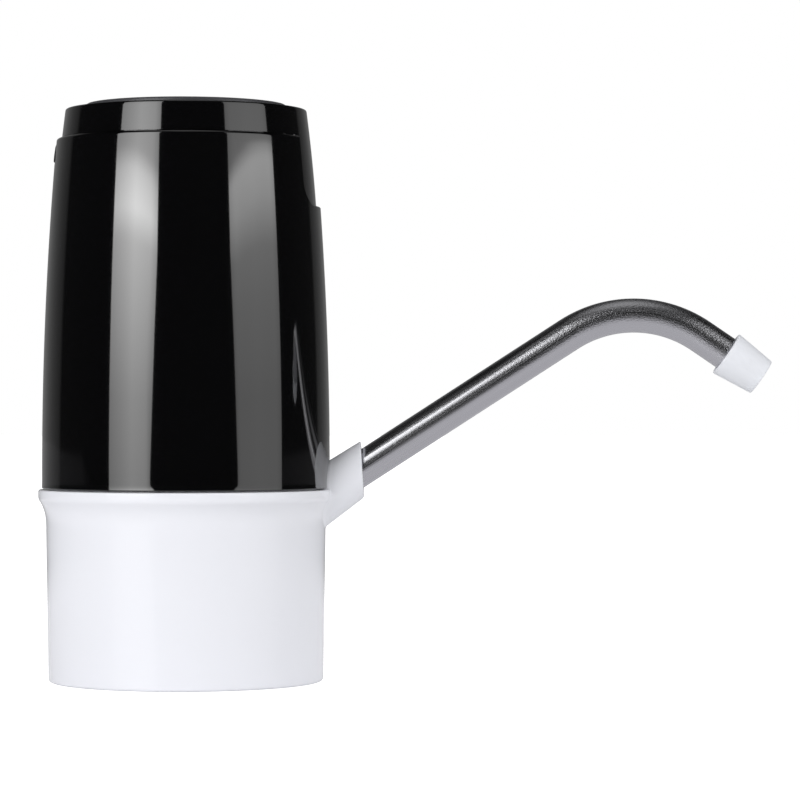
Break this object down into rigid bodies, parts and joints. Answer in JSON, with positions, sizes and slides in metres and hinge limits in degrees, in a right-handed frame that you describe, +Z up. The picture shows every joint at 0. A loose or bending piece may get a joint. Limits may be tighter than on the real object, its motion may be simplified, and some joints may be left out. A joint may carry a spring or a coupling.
{
  "type": "bottled water pump",
  "caption": "Battery pump that stands on the neck of a large water bottle: white collar, glossy black barrel with a press button on top, and a bent steel spout with a soft nozzle.",
  "frame": {"origin": "on the barrel's axis at the underside of the collar's seat, where the bottle's mouth stops", "axes": "+Z up along the barrel, +X towards the spout"},
  "size_m": [0.1932, 0.0776, 0.1518],
  "materials": {
    "white_abs": "satin moulded",
    "black_abs": "high gloss moulded",
    "grey_abs": "fine texture moulded",
    "black_nylon": "plain moulded",
    "white_nylon": "plain moulded",
    "white_silicone": "soft matt silicone",
    "soft_black": "soft matt silicone",
    "steel": "fine polished stainless",
    "motor_metal": "plain plated can",
    "clear_ring": "frosted light guide",
    "clear_hose": "translucent silicone",
    "green_board": "solder mask",
    "led": "clear package",
    "cell_wrap": "shrink sleeve",
    "red_wire": "wire sleeve",
    "black_wire": "wire sleeve"
  },
  "bodies": {
    "housing": {"collar": "white_abs", "barrel_shell": "black_abs", "top_cover": "black_abs", "top_plate": "black_abs", "light_ring": "clear_ring", "tact_switch": "black_nylon", "circuit_board": "green_board", "status_led_1": "led", "status_led_2": "led", "status_led_3": "led", "status_led_4": "led", "charging_port": "steel", "intake_nipple": "white_abs", "inlet_hose": "clear_hose", "outlet_hose": "clear_hose", "base_screw_1": "steel", "base_screw_2": "steel", "base_screw_3": "steel", "chassis": "grey_abs", "battery_cell": "cell_wrap", "pump_head": "black_nylon", "valve_plate": "white_nylon", "pump_diaphragm": "soft_black", "pump_body": "black_nylon", "pump_screw_1": "steel", "pump_screw_2": "steel", "pump_screw_3": "steel", "motor_can": "motor_metal", "motor_end_cap": "black_nylon", "cell_lead_red": "red_wire", "cell_lead_black": "black_wire", "motor_lead_red": "red_wire", "motor_lead_black": "black_wire"},
    "button": {"power_button": "grey_abs", "switch_plunger": "black_nylon"},
    "plug": {"port_plug": "soft_black"},
    "spout_seal": {"seal_ring": "white_silicone"},
    "spout": {"spout_tube": "steel"},
    "nozzle": {"spout_nozzle": "white_silicone"},
    "rotor": {"motor_shaft": "steel", "eccentric": "white_nylon"},
    "wobbler": {"wobble_plate": "white_nylon", "wobble_pin": "steel"}
  },
  "joints": [
    {"name": "button_press", "type": "slide", "parent": "housing", "child": "button", "axis": [0, 0, -1], "range_m": [0, 0.0005], "stiffness_N_per_m": 1500},
    {"name": "port_plug_pull", "type": "slide", "parent": "housing", "child": "plug", "axis": [-1, 0, 0], "range_m": [0, 0.008]},
    {"name": "spout_swivel", "type": "hinge", "parent": "housing", "child": "spout_seal", "pos_m": [0.0465, 0, 0.01797], "axis": [0.8391, 0, 0.5439], "continuous": true},
    {"name": "spout_pull", "type": "slide", "parent": "spout_seal", "child": "spout", "axis": [0.8391, 0, 0.5439], "range_m": [0, 0.02]},
    {"name": "nozzle_pull", "type": "slide", "parent": "spout", "child": "nozzle", "axis": [0.8261, 0, -0.5635], "range_m": [0, 0.011]},
    {"name": "motor_spin", "type": "hinge", "parent": "housing", "child": "rotor", "pos_m": [-0.002, -0.0112, 0.0423], "axis": [0, 0, 1], "continuous": true},
    {"name": "wobble_turn", "type": "hinge", "parent": "rotor", "child": "wobbler", "pos_m": [-0.002, -0.0112, 0.0303], "axis": [0.1219, 0, 0.9925], "continuous": true}
  ],
  "couplings": [
    {"joint": "wobble_turn", "follows": "motor_spin", "ratio": -1}
  ]
}
